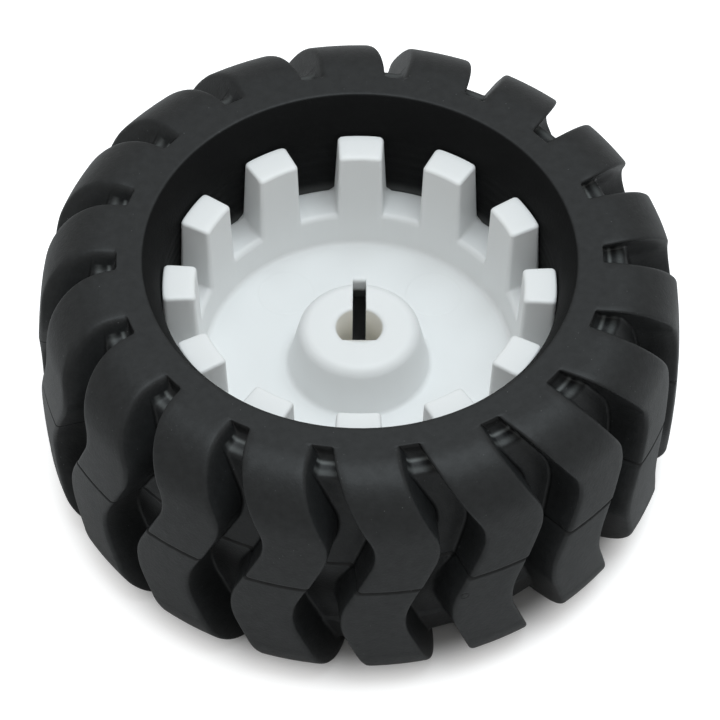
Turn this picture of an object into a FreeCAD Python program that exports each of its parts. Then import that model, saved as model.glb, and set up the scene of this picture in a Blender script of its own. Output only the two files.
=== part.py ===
import FreeCAD
import Part
import Sketcher
import math
import os

# Small robot wheel: a rubber tyre with wavy lugs on a moulded plastic hub.
# The origin is the centre of the wheel. Z is its axis, and +Z points to the motor side.
# Lengths are in millimetres and angles in degrees.

SIZES = [
    # Tyre
    ("tyre_diameter", 42.0, "over the crown of the lugs"),
    ("tyre_width", 19.0, "from side face to side face"),
    ("crown_radius", 20.0, "arc across the tread, in section"),
    ("shoulder_radius", 3.0, "rounding from crown to side face"),
    ("lip_radius", 2.5, "rounding from side face to tyre bore"),
    ("tread_depth", 2.45, "lug height over the groove floor"),
    ("floor_edge_radius", 17.0, "groove floor at its two ends"),
    ("parting_height", 1.39, "mould parting, from the wheel's middle"),
    ("side_groove_depth", 1.0, "groove depth in the side face"),
    ("side_groove_radius", 15.65, "where the grooves start on the side face"),
    ("lug_count", 18, "lugs around the tyre"),
    ("lug_width", 4.2, "width of one lug, all along its wave"),
    ("motor_end_shift", -1.2, "sideways place of the wave at the motor side face"),
    ("motor_bend_height", 4.7, "height of the wave's bend near the motor side"),
    ("motor_bend_shift", 1.35, "sideways place of that bend's corner"),
    ("motor_bend_radius", 3.0, "rounding of that bend"),
    ("outer_bend_height", -1.9, "height of the wave's bend near the outer side"),
    ("outer_bend_shift", -1.4, "sideways place of that bend's corner"),
    ("outer_bend_radius", 5.0, "rounding of that bend"),
    ("outer_end_shift", 1.3, "sideways place of the wave at the outer side face"),
    ("tread_turn", -4.05, "angle of the first lug from the first hub tooth"),
    # Seat between tyre and hub
    ("seat_radius", 12.8, "bore of the tyre"),
    ("seat_clearance", 0.02, "gap between tyre bore and hub drum"),
    # Hub
    ("draft_angle", 2.7, "mould draft of the drum walls and the teeth"),
    ("drum_top", 1.5, "height of the drum's top, the floor between the teeth"),
    ("drum_end", -8.5, "height of the drum's outer end"),
    ("drum_wall", 1.5, "drum wall at its root on the outer side"),
    ("cup_radius", 10.25, "cup on the motor side, at the web"),
    ("web_top", -1.15, "height of the web's motor face"),
    ("web_thickness", 1.2, "web between drum and boss"),
    ("tooth_count", 12, "teeth around the drum"),
    ("tooth_height", 5.36, "tooth top over the drum's top"),
    ("tooth_width", 3.4, "tooth at its root"),
    ("tooth_draft", 3.2, "lean of the tooth's sides"),
    ("boss_top", 2.48, "height of the boss on the motor side"),
    ("boss_radius", 3.85, "boss at its top"),
    ("boss_root_radius", 4.65, "boss where it meets the web"),
    ("boss_edge", 0.3, "bevel on the motor side's boss"),
    ("outer_boss_end", -7.0, "height of the boss on the outer side"),
    ("outer_boss_radius", 4.2, "outer boss at its end"),
    ("shaft_bore_radius", 1.5, "round part of the D-shaped bore"),
    ("shaft_flat_distance", 1.05, "flat of the bore from the axis"),
    ("slit_width", 0.87, "slit that lets the boss spring"),
    ("slit_reach", 6.97, "end of the slit from the axis"),
]

doc = FreeCAD.newDocument("robot_wheel")
sheet = doc.addObject("Spreadsheet::Sheet", "sizes")
sheet.Label = "sizes"
for row, (alias, size, note) in enumerate(SIZES, start=1):
    sheet.set("A%d" % row, alias)
    sheet.set("B%d" % row, str(size))
    sheet.set("C%d" % row, note)
    sheet.setAlias("B%d" % row, alias)
doc.recompute()

MOTOR_FACE = "sizes.tyre_width / 2"
OUTER_FACE = "-sizes.tyre_width / 2"
CROWN_CENTRE = "(sizes.tyre_diameter / 2 - sizes.crown_radius)"
TRIM_MARGIN = "2"
TOOTH_MARGIN = "0.5"
SHOULDER_HEIGHT = "(sizes.tyre_width / 2 - sizes.shoulder_radius)"
SHOULDER_REST = "(sizes.crown_radius - sizes.shoulder_radius)"
CROWN_BAND_COUNT = 2
SHOULDER_BAND_COUNT = 3
LIP_BAND_COUNT = 3
DRUM_RADIUS = "(sizes.seat_radius - sizes.seat_clearance)"
TOOTH_TOP = "(sizes.drum_top + sizes.tooth_height)"
WEB_BOTTOM = "(sizes.web_top - sizes.web_thickness)"


def number(expression):
    """The value of an expression on the sheet, as a plain number."""
    return float(sheet.evalExpression(expression))


def origin_part(body, role):
    """The origin plane or axis of a body that has the given role."""
    for feature in body.Origin.OriginFeatures:
        if feature.Role == role:
            return feature
    raise ValueError("no origin feature " + role)


def new_body(label):
    """A body whose label names the sub-part."""
    body = doc.addObject("PartDesign::Body", label)
    body.Label = label
    return body


def new_sketch(body, name, role, lift=None):
    """A sketch on an origin plane of the body, raised along the plane's normal."""
    sketch = body.newObject("Sketcher::SketchObject", name)
    sketch.AttachmentSupport = [(origin_part(body, role), "")]
    sketch.MapMode = "FlatFace"
    if lift is not None:
        sketch.setExpression("AttachmentOffset.Base.z", lift)
    return sketch


def bind(sketch, constraint, expression):
    """Adds a driving constraint that follows an expression."""
    index = sketch.addConstraint(constraint)
    sketch.setExpression("Constraints[%d]" % index, expression)


def place_x(sketch, geometry, point, expression):
    """Ties a point's first coordinate to an expression."""
    value = number(expression)
    if value == 0:
        sketch.addConstraint(Sketcher.Constraint("PointOnObject", geometry, point, -2))
    else:
        bind(sketch, Sketcher.Constraint("DistanceX", -1, 1, geometry, point, value), expression)


def place_y(sketch, geometry, point, expression):
    """Ties a point's second coordinate to an expression."""
    value = number(expression)
    if value == 0:
        sketch.addConstraint(Sketcher.Constraint("PointOnObject", geometry, point, -1))
    else:
        bind(sketch, Sketcher.Constraint("DistanceY", -1, 1, geometry, point, value), expression)


def spot(x, y):
    """A sketch point at two expressions."""
    return FreeCAD.Vector(number(x), number(y), 0)


def add_line(sketch, start, end):
    """A line between two vectors."""
    return sketch.addGeometry(Part.LineSegment(start, end), False)


def add_arc(sketch, centre, radius, first, last):
    """An arc about a centre, counter-clockwise between two angles in radians."""
    circle = Part.Circle(centre, FreeCAD.Vector(0, 0, 1), radius)
    return sketch.addGeometry(Part.ArcOfCircle(circle, first, last), False)


def join(sketch, first, second):
    """Makes the end of one line meet the start of the next."""
    sketch.addConstraint(Sketcher.Constraint("Coincident", first, 2, second, 1))


def polygon(sketch, corners):
    """A closed outline of straight lines whose corners follow expressions."""
    spots = [spot(x, y) for x, y in corners]
    lines = []
    for index, start in enumerate(spots):
        lines.append(add_line(sketch, start, spots[(index + 1) % len(spots)]))
    for index, line in enumerate(lines):
        join(sketch, line, lines[(index + 1) % len(lines)])
        x, y = corners[index]
        place_x(sketch, line, 1, x)
        place_y(sketch, line, 1, y)


def revolve(body, kind, name, sketch):
    """A full turn of a sketch about the wheel's axis: a Revolution adds, a Groove cuts."""
    feature = body.newObject(kind, name)
    feature.Profile = sketch
    feature.ReferenceAxis = (sketch, ["V_Axis"])
    feature.Angle = 360
    sketch.Visibility = False
    return feature


def around(body, name, original, count):
    """Copies of a feature, evenly around the wheel's axis."""
    pattern = body.newObject("PartDesign::PolarPattern", name)
    pattern.Originals = [original]
    pattern.Axis = (origin_part(body, "Z_Axis"), [""])
    pattern.Angle = 360
    pattern.setExpression("Occurrences", count)
    body.Tip = pattern
    doc.recompute()
    return pattern


def bands(centre_x, centre_y, radius, first, last, count):
    """Corners of short straight bands along an arc of a section, from one angle to another."""
    corners = []
    for step in range(count + 1):
        angle = "(%s + (%s - %s) * %d / %d)" % (first, last, first, step, count)
        corners.append((
            "%s + %s * cos(%s)" % (centre_x, radius, angle),
            "%s + %s * sin(%s)" % (centre_y, radius, angle),
        ))
    return corners


def make_core(body):
    """The plain ring inside the tread. Its outside is where the grooves start on the side faces."""
    sketch = new_sketch(body, "core_section", "XZ_Plane")
    inside = "sizes.seat_radius - " + TRIM_MARGIN
    polygon(sketch, [
        (inside, OUTER_FACE),
        ("sizes.side_groove_radius", OUTER_FACE),
        ("sizes.side_groove_radius", MOTOR_FACE),
        (inside, MOTOR_FACE),
    ])
    revolve(body, "PartDesign::Revolution", "core", sketch)
    doc.recompute()


def add_groove_floor(body):
    """Fills the tread between the lugs up to the groove floor, which is highest at the mould's parting."""
    sketch = new_sketch(body, "floor_section", "XZ_Plane")
    floor_height = "(sizes.tyre_width / 2 - sizes.side_groove_depth)"
    inside = "(sizes.seat_radius + sizes.side_groove_radius) / 2"
    polygon(sketch, [
        (inside, floor_height),
        (inside, "-" + floor_height),
        ("sizes.floor_edge_radius", "-" + floor_height),
        ("sizes.tyre_diameter / 2 - sizes.tread_depth", "sizes.parting_height"),
        ("sizes.floor_edge_radius", floor_height),
    ])
    revolve(body, "PartDesign::Revolution", "groove_floor", sketch)
    doc.recompute()


def wavy_edge(sketch, shift):
    """One long edge of a lug: three straight runs with two rounded bends between them."""
    ends = [
        ("(sizes.motor_end_shift + %s)" % shift, MOTOR_FACE),
        ("(sizes.outer_end_shift + %s)" % shift, OUTER_FACE),
    ]
    bends = [
        ("(sizes.motor_bend_shift + %s)" % shift, "sizes.motor_bend_height", "sizes.motor_bend_radius"),
        ("(sizes.outer_bend_shift + %s)" % shift, "sizes.outer_bend_height", "sizes.outer_bend_radius"),
    ]
    corners = [spot(*ends[0]), spot(*bends[0][:2]), spot(*bends[1][:2]), spot(*ends[1])]
    arcs = []
    cuts = []
    for index, (x, y, radius) in enumerate(bends, start=1):
        size = number(radius)
        corner = corners[index]
        back = (corners[index - 1] - corner).normalize()
        ahead = (corners[index + 1] - corner).normalize()
        half_angle = back.getAngle(ahead) / 2
        reach = size / math.tan(half_angle)
        inward = (back + ahead).normalize()
        centre = corner + inward * (size / math.sin(half_angle))
        entry = corner + back * reach
        leave = corner + ahead * reach
        clockwise = (entry - centre).cross(leave - centre).z < 0
        first, last = (leave, entry) if clockwise else (entry, leave)
        first_angle = math.atan2(first.y - centre.y, first.x - centre.x)
        last_angle = math.atan2(last.y - centre.y, last.x - centre.x)
        if last_angle < first_angle:
            last_angle += 2 * math.pi
        arcs.append((centre, size, first_angle, last_angle, clockwise))
        cuts.append((entry, leave))
    lines = [
        add_line(sketch, corners[0], cuts[0][0]),
        add_line(sketch, cuts[0][1], cuts[1][0]),
        add_line(sketch, cuts[1][1], corners[3]),
    ]
    for index, (centre, size, first_angle, last_angle, clockwise) in enumerate(arcs):
        arc = add_arc(sketch, centre, size, first_angle, last_angle)
        near, far = (2, 1) if clockwise else (1, 2)
        sketch.addConstraint(Sketcher.Constraint("Tangent", lines[index], 2, arc, near))
        sketch.addConstraint(Sketcher.Constraint("Tangent", arc, far, lines[index + 1], 1))
        x, y, radius = bends[index]
        bind(sketch, Sketcher.Constraint("Radius", arc, size), radius)
        corner = sketch.addGeometry(Part.Point(corners[index + 1]), True)
        sketch.addConstraint(Sketcher.Constraint("PointOnObject", corner, 1, lines[index]))
        sketch.addConstraint(Sketcher.Constraint("PointOnObject", corner, 1, lines[index + 1]))
        place_x(sketch, corner, 1, x)
        place_y(sketch, corner, 1, y)
    place_x(sketch, lines[0], 1, ends[0][0])
    place_y(sketch, lines[0], 1, ends[0][1])
    place_x(sketch, lines[2], 2, ends[1][0])
    place_y(sketch, lines[2], 2, ends[1][1])
    return lines[0], lines[2]


def make_lugs(body):
    """One lug is a wavy bar that stands out from the carcass. It is repeated around the tyre."""
    root = "(sizes.seat_radius + sizes.side_groove_radius) / 2"
    sketch = new_sketch(body, "lug_outline", "YZ_Plane", root)
    left_start, left_end = wavy_edge(sketch, "-sizes.lug_width / 2")
    right_start, right_end = wavy_edge(sketch, "sizes.lug_width / 2")
    top = add_line(sketch, sketch.getPoint(left_start, 1), sketch.getPoint(right_start, 1))
    bottom = add_line(sketch, sketch.getPoint(left_end, 2), sketch.getPoint(right_end, 2))
    sketch.addConstraint(Sketcher.Constraint("Coincident", top, 1, left_start, 1))
    sketch.addConstraint(Sketcher.Constraint("Coincident", top, 2, right_start, 1))
    sketch.addConstraint(Sketcher.Constraint("Coincident", bottom, 1, left_end, 2))
    sketch.addConstraint(Sketcher.Constraint("Coincident", bottom, 2, right_end, 2))
    lug = body.newObject("PartDesign::Pad", "lug")
    lug.Profile = sketch
    lug.setExpression("Length", "sizes.tyre_diameter / 2 + %s - %s" % (TRIM_MARGIN, root))
    doc.recompute()
    around(body, "lugs", lug, "sizes.lug_count")


def trim_tread(body):
    """Cuts the lugs to the crown and the rounded shoulders."""
    sketch = new_sketch(body, "tread_trim", "XZ_Plane")
    turn = "asin(%s / %s)" % (SHOULDER_HEIGHT, SHOULDER_REST)
    shoulder_x = "(%s + %s * cos(%s))" % (CROWN_CENTRE, SHOULDER_REST, turn)
    outside = "sizes.tyre_diameter / 2 + 2 * " + TRIM_MARGIN
    above = MOTOR_FACE + " + " + TRIM_MARGIN
    below = OUTER_FACE + " - " + TRIM_MARGIN
    crown = (CROWN_CENTRE, "0", "sizes.crown_radius")
    upper_edge = (shoulder_x, SHOULDER_HEIGHT, "sizes.shoulder_radius")
    lower_edge = (shoulder_x, "-" + SHOULDER_HEIGHT, "sizes.shoulder_radius")
    lower = bands(*lower_edge, "-90 deg", "-" + turn, SHOULDER_BAND_COUNT)
    lower_crown = bands(*crown, "-" + turn, "0 deg", CROWN_BAND_COUNT)
    upper_crown = bands(*crown, "0 deg", turn, CROWN_BAND_COUNT)
    upper = bands(*upper_edge, turn, "90 deg", SHOULDER_BAND_COUNT)
    polygon(sketch, [
        (shoulder_x, above),
        (outside, above),
        (outside, below),
        (shoulder_x, below),
    ] + lower + lower_crown[1:] + upper_crown[1:] + upper[1:])
    revolve(body, "PartDesign::Groove", "tread_shape", sketch)
    doc.recompute()


def cut_seat(body):
    """Cuts the tyre's bore, which opens into a rounded lip at both ends."""
    sketch = new_sketch(body, "seat_section", "XZ_Plane")
    lip_centre = "(sizes.seat_radius + sizes.lip_radius)"
    lip_height = "(sizes.tyre_width / 2 - sizes.lip_radius)"
    inside = "sizes.seat_radius - 2 * " + TRIM_MARGIN
    above = MOTOR_FACE + " + " + TRIM_MARGIN
    below = OUTER_FACE + " - " + TRIM_MARGIN
    motor_edge = (lip_centre, lip_height, "sizes.lip_radius")
    outer_edge = (lip_centre, "-" + lip_height, "sizes.lip_radius")
    motor_lip = bands(*motor_edge, "90 deg", "180 deg", LIP_BAND_COUNT)
    outer_lip = bands(*outer_edge, "180 deg", "270 deg", LIP_BAND_COUNT)
    polygon(sketch, [
        (lip_centre, below),
        (inside, below),
        (inside, above),
        (lip_centre, above),
    ] + motor_lip + outer_lip)
    revolve(body, "PartDesign::Groove", "seat", sketch)
    doc.recompute()


def make_tyre():
    """The rubber tyre."""
    body = new_body("tyre")
    make_core(body)
    make_lugs(body)
    trim_tread(body)
    add_groove_floor(body)
    cut_seat(body)
    body.setExpression("Placement.Rotation.Angle", "sizes.tread_turn")
    return body


def make_drum(body):
    """The hub's turned form without its cup: boss, web and drum, in one section."""
    outer_root = "(%s - sizes.drum_wall)" % DRUM_RADIUS
    outer_slope = "(%s - sizes.drum_end) * tan(sizes.draft_angle)" % WEB_BOTTOM
    boss_slope = "(%s - sizes.outer_boss_end) * tan(sizes.draft_angle)" % WEB_BOTTOM
    sketch = new_sketch(body, "drum_section", "XZ_Plane")
    polygon(sketch, [
        ("0", "sizes.boss_top"),
        ("0", "sizes.outer_boss_end"),
        ("sizes.outer_boss_radius", "sizes.outer_boss_end"),
        ("sizes.outer_boss_radius + " + boss_slope, WEB_BOTTOM),
        (outer_root, WEB_BOTTOM),
        ("%s + %s" % (outer_root, outer_slope), "sizes.drum_end"),
        (DRUM_RADIUS, "sizes.drum_end"),
        (DRUM_RADIUS, "sizes.drum_top"),
        ("sizes.boss_root_radius", "sizes.drum_top"),
        ("sizes.boss_root_radius", "sizes.boss_top"),
    ])
    revolve(body, "PartDesign::Revolution", "drum", sketch)
    doc.recompute()


def make_teeth(body):
    """Bars across the drum's edge, narrower at their top. The cup and the lean of their backs trim them."""
    root = "(sizes.cup_radius - %s)" % TOOTH_MARGIN
    sketch = new_sketch(body, "tooth_outline", "YZ_Plane", root)
    half_root = "sizes.tooth_width / 2"
    half_top = "(sizes.tooth_width / 2 - sizes.tooth_height * tan(sizes.tooth_draft))"
    polygon(sketch, [
        ("-" + half_root, "sizes.drum_top"),
        (half_root, "sizes.drum_top"),
        (half_top, TOOTH_TOP),
        ("-" + half_top, TOOTH_TOP),
    ])
    tooth = body.newObject("PartDesign::Pad", "tooth")
    tooth.Profile = sketch
    tooth.setExpression("Length", "%s + %s - %s" % (DRUM_RADIUS, TOOTH_MARGIN, root))
    doc.recompute()
    around(body, "teeth", tooth, "sizes.tooth_count")


def cut_cup(body):
    """Turns the cup, with the boss in it, and the leaning backs of the teeth."""
    over = "(%s + %s)" % (TOOTH_TOP, TRIM_MARGIN)
    cup_slope = "(%s - sizes.web_top) * tan(sizes.draft_angle)" % over
    back_slope = "(%s - sizes.drum_top) * tan(sizes.draft_angle)" % over
    cup = new_sketch(body, "cup_section", "XZ_Plane")
    polygon(cup, [
        ("sizes.boss_radius - sizes.boss_edge", over),
        ("sizes.boss_radius - sizes.boss_edge", "sizes.boss_top"),
        ("sizes.boss_radius", "sizes.boss_top - sizes.boss_edge"),
        ("sizes.boss_root_radius", "sizes.web_top"),
        ("sizes.cup_radius", "sizes.web_top"),
        ("sizes.cup_radius + " + cup_slope, over),
    ])
    revolve(body, "PartDesign::Groove", "cup", cup)
    doc.recompute()
    beyond = "%s + %s" % (DRUM_RADIUS, TRIM_MARGIN)
    backs = new_sketch(body, "tooth_back_section", "XZ_Plane")
    polygon(backs, [
        (DRUM_RADIUS, "sizes.drum_top"),
        (beyond, "sizes.drum_top"),
        (beyond, over),
        ("%s - %s" % (DRUM_RADIUS, back_slope), over),
    ])
    revolve(body, "PartDesign::Groove", "tooth_backs", backs)
    doc.recompute()


def cut_through(body, name, sketch):
    """Cuts a sketch at the boss top down through the whole hub."""
    pocket = body.newObject("PartDesign::Pocket", name)
    pocket.Profile = sketch
    pocket.Type = "ThroughAll"
    sketch.Visibility = False
    doc.recompute()
    return pocket


def cut_bore(body):
    """The D-shaped bore for the shaft, with its flat towards -Y."""
    sketch = new_sketch(body, "bore_outline", "XY_Plane", "sizes.boss_top")
    radius = number("sizes.shaft_bore_radius")
    flat = number("sizes.shaft_flat_distance")
    angle = math.asin(flat / radius)
    arc = add_arc(sketch, FreeCAD.Vector(0, 0, 0), radius, -angle, math.pi + angle)
    chord = add_line(sketch, sketch.getPoint(arc, 2), sketch.getPoint(arc, 1))
    sketch.addConstraint(Sketcher.Constraint("Coincident", arc, 3, -1, 1))
    sketch.addConstraint(Sketcher.Constraint("Coincident", arc, 2, chord, 1))
    sketch.addConstraint(Sketcher.Constraint("Coincident", chord, 2, arc, 1))
    sketch.addConstraint(Sketcher.Constraint("Horizontal", chord))
    bind(sketch, Sketcher.Constraint("Radius", arc, radius), "sizes.shaft_bore_radius")
    place_y(sketch, chord, 1, "-sizes.shaft_flat_distance")
    cut_through(body, "shaft_bore", sketch)


def cut_slit(body):
    """The slit on the +Y side, from the bore through the boss and into the web."""
    sketch = new_sketch(body, "slit_outline", "XY_Plane", "sizes.boss_top")
    inside = "sizes.shaft_bore_radius / 2"
    left = "-sizes.slit_width / 2"
    right = "sizes.slit_width / 2"
    polygon(sketch, [
        (left, inside),
        (right, inside),
        (right, "sizes.slit_reach"),
        (left, "sizes.slit_reach"),
    ])
    cut_through(body, "slit", sketch)


def make_hub():
    """The plastic hub."""
    body = new_body("hub")
    make_drum(body)
    make_teeth(body)
    cut_cup(body)
    cut_bore(body)
    cut_slit(body)
    return body


parts = [make_tyre(), make_hub()]
doc.recompute()

for item in doc.Objects:
    if "Invalid" in item.State or "Error" in item.State:
        raise RuntimeError("failed: " + item.Name)
os.makedirs("parts", exist_ok=True)
for part in parts:
    if part.Shape.isNull() or not part.Shape.isValid():
        raise RuntimeError("bad shape: " + part.Label)
for part in parts:
    part.Shape.exportStep("parts/%s.step" % part.Label)
    print(part.Label, "volume %.1f mm3" % part.Shape.Volume, "solids", len(part.Shape.Solids))
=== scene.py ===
"""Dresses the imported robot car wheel: a rubber tyre with wavy lugs and a white toothed hub."""
import math

import bmesh
import bpy
import numpy as np
from mathutils import Matrix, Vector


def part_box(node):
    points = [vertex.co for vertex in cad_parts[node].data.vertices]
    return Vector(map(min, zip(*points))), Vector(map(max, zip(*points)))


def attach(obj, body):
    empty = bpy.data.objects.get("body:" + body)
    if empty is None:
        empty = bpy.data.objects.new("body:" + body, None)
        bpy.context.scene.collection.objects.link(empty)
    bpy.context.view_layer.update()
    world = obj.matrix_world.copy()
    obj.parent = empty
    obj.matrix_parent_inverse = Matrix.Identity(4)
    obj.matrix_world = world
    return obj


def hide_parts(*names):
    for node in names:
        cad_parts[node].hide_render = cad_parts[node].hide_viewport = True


bl_info = {
    "name": "Small Robot Wheel",
    "version": (1, 0, 0),
    "blender": (4, 5, 0),
    "location": "3D View > Sidebar > Wheel",
    "description": "Builds a lugged rubber tyre on a toothed plastic hub around the packed solids",
    "category": "Add Mesh",
}

# The frame. Lengths below are in millimetres unless a name says otherwise.
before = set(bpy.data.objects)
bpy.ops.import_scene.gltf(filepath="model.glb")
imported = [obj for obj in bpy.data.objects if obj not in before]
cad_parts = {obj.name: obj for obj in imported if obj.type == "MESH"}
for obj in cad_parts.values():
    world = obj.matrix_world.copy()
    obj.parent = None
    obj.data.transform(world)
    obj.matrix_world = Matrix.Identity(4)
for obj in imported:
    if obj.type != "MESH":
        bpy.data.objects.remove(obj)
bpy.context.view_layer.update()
TYRE_LOW, TYRE_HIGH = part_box("tyre")
MM = 0.001
TURN = 2 * math.pi
JOIN_DISTANCE = 0.002

# The tyre's section: bore, lips, side faces, shoulders and crown
TYRE_RADIUS = TYRE_HIGH.x / MM
HALF_WIDTH = TYRE_HIGH.z / MM
TREAD_RADIUS = TYRE_RADIUS - 0.08
CROWN_RADIUS = 54.0
BORE_RADIUS = 12.8
LIP_RADIUS = 5.53
LIP_START = math.radians(50.7)
LIP_ROWS = 11
LIP_EDGE_STEPS = [(-0.06, 0.07), (-0.01, 0.02), (0.05, 0.0), (0.2, 0.0)]
SIDE_FACE_RADII = [14.9, 15.5, 15.57]
SHOULDER_ROWS = 18
CROWN_ROWS = 66
BORE_ROWS = 14

# The end of a groove, beside a lug's own side face. A drop is measured down from the side face.
LUG_FACE_RADII = [15.6, 15.64, 15.7, 15.78, 15.9, 16.1, 16.35, 16.5]
GROOVE_STEP_RADII = [15.6, 15.645, 15.67, 15.72, 15.82, 16.02, 16.34, 16.6]
GROOVE_STEP_DROPS = [0, 0.03, 0.35, 0.66, 0.88, 1.04, 1.12, 1.14]
GROOVE_FOOT = np.array([(16.8, 8.35), (17.02, 8.32), (17.14, 8.24), (17.22, 8.1), (17.25, 7.97)])
FLOOR_END = 17.25
FLOOR_END_HEIGHT = 7.95
FLOOR_SLOPE = 0.198

# The mould's parting line round the tread. The half below it is a little smaller and turned back.
PARTING_HEIGHT = 1.27
PARTING_ROWS = np.array([0.24, 0.13, 0.08, -0.08, -0.13, -0.24])
PARTING_CLEAR = 0.28
PARTING_REACH = 0.1
PARTING_DEPTH = 0.15
PARTING_FLOOR_DEPTH = 0.16
PARTING_NOTCH = 0.14
PARTING_NOTCH_RADIUS = 20.0
LOWER_HALF_INSET = 0.015
LOWER_HALF_SHIFT = 0.07
LOWER_HALF_BLEND = 0.03

# The lugs: height and sideways place of the wave's corners, and how their edges and feet are rounded
TREAD_TURN = math.radians(-4.05)
WAVE = [(9.5, -1.2), (4.7, 1.35), (-1.9, -1.4), (-9.5, 1.3)]
WAVE_RADII = [3.0, 5.0]
WAVE_SPACING = 0.1
LUG_EDGE = 0.25
LUG_FOOT = 0.22
ROUNDING_SHARE = 0.4
RING_MARK = (6.83, -19.75, -0.3)

# The hub's drum, web, bosses, bore and slit
DRUM_RADIUS = 12.78
DRUM_TOP = 1.5
DRUM_END = -8.5
DRUM_STEP = 0.03
DRUM_LIP = 0.1
RIM_EDGE = 0.4
WEB_TOP = -1.15
WEB_BOTTOM = -2.35
CUP_RADIUS = 10.25
DISH_RADIUS = 11.28
DISH_MOUTH = 11.57
DRAFT = math.tan(math.radians(2.7))
BOSS_TOP = 2.48
BOSS_TOP_RADIUS = 3.88
BOSS_FOOT_RADIUS = 4.62
BOSS_ROUNDING = 0.9
WEB_FILLET = 0.35
OUTER_BOSS_END = -7.0
OUTER_BOSS_RADIUS = 4.2
DISH_ROUNDINGS = [0.3, 0.3, 0.4, 0.15, 0.15]
SECTION_START = 0.5
SECTION_SPACING = 0.08
SHAFT_RADIUS = 1.5
SHAFT_FLAT = 1.05
SLIT_END = 6.97
SLIT_SPOTS = np.array([6.9, 6.5, 6.0, 5.5, 5.0, 4.8, 4.65, 4.55, 4.4, 4.2, 4.0, 3.87, 3.8, 3.7, 3.55, 3.4,
                       3.0, 2.6, 2.2, 1.9, 1.7, SHAFT_RADIUS])
SLIT_END_ANGLES = [0, 0.02, 0.04, 0.056]
MOUTH_EDGE = 0.13
WALL_ROWS = 5
COLUMN_BLEND = (7.3, 9.7)
DRUM_SIDE = 9.8

# The teeth. A level runs from 0 at a tooth's middle to 1 at its foot's outline.
TOOTH_COUNT = 12
GAP_COLUMNS = 6
LEVELS = np.array([0.0, 0.17, 0.34, 0.5, 0.56, 0.61, 0.65, 0.68, 0.78, 0.88, 0.91, 0.94, 0.97, 1.0])
TOP_LEVEL = 0.5
WALL_TOP_LEVEL = 0.68
WALL_FOOT_LEVEL = 0.88
TOOTH_CORNER = 0.3
TOOTH_EDGE = 0.24
TOOTH_HALF_WIDTH = 1.47
TOOTH_WIDENING = 0.29
TOOTH_DRAFT = 0.011
TOOTH_OUTER_DRAFT = 0.032
TOOTH_BACK_DRAFT = 0.004
TOOTH_FLARE = 0.1
TOOTH_FLARE_WIDENING = 0.45
CORNER_BEND = 0.72

# Two round marks that the ejector pins leave on the web
MARK_SIDE = 4.87
MARK_BACK = 5.75
MARK_RADIUS = 1.85
MARK_EDGE = 0.12

# Colours of the rubber, clouded, marked and dusty, with painted shade, painted highlights and a painted
# reflection, and of the plastic, with painted shade in its bore
CLOUDED_RUBBER = (0.02, 0.0215, 0.022)
BORE_PAINTED_SHADE = (0.0030, 0.0032, 0.0033)
CREASE_PAINTED_SHADE = (0.002, 0.002, 0.002)
LEDGE_PAINTED_HIGHLIGHT = (0.12, 0.128, 0.126)
PAINTED_HUB_REFLECTION = (0.075, 0.077, 0.076)
MARK_RUBBER = (0.003, 0.003, 0.003)
DUST = (0.2, 0.21, 0.21)
MARK_PLASTIC = (0.6, 0.61, 0.6)
BORE_PAINTED_WARM_SHADE = (0.80, 0.77, 0.69)

# The stage, in metres
FLOOR_COLOUR = (0.8, 0.8, 0.8)
FLOOR_SIZE = 3.0
LAMP_PLACE = (0.07, 0.06, 0.6)
LAMP_SIZE = 0.5
LAMP_COLOUR = (0.86, 0.95, 1.0)
SKY_COLOUR = (1, 0.995, 0.98)

# The photograph's camera, with distances in millimetres
CAMERA_AZIMUTH = math.radians(-0.10)
CAMERA_ELEVATION = math.radians(50.873)
CAMERA_ROLL = math.radians(0.533)
CAMERA_DISTANCE = 383.6
CAMERA_FOCAL_PIXELS = 5874.1
CAMERA_SIDE = -0.057
CAMERA_RISE = 1.504
CAMERA_TARGET_HEIGHT = 1.39
PICTURE_PIXELS = 720
SENSOR_WIDTH = 36.0


# Shader maths
class Sock:
    """A shader value with the usual operators. Each operator adds one maths node."""

    def __init__(self, nodes, socket, kind="value"):
        self.nodes = nodes
        self.socket = socket
        self.kind = kind

    def _math(self, operation, *values):
        return self.nodes.add("ShaderNodeMath", {"operation": operation}, dict(enumerate(values)))

    def __add__(self, other):
        return self._math("ADD", self, other)

    __radd__ = __add__

    def __sub__(self, other):
        return self._math("SUBTRACT", self, other)

    def __rsub__(self, other):
        return self._math("SUBTRACT", other, self)

    def __mul__(self, other):
        if self.kind == "vector":
            return self.nodes.add("ShaderNodeVectorMath", {"operation": "MULTIPLY"}, {0: self, 1: other},
                                  kind="vector")
        return self._math("MULTIPLY", self, other)

    __rmul__ = __mul__

    def sin(self):
        return self._math("SINE", self)

    def abs(self):
        return self._math("ABSOLUTE", self)

    def root(self):
        return self._math("SQRT", self)

    def above(self, low, high):
        """0 below low, 1 above high, and a smooth step between them."""
        return self.nodes.add("ShaderNodeMapRange", {"interpolation_type": "SMOOTHSTEP"},
                              {"Value": self, "From Min": low, "From Max": high}, "Result")

    def near(self, place, reach):
        """1 at one value, falling smoothly to 0 at a distance of reach."""
        return 1 - (self - place).abs().above(0.0, reach)


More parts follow.
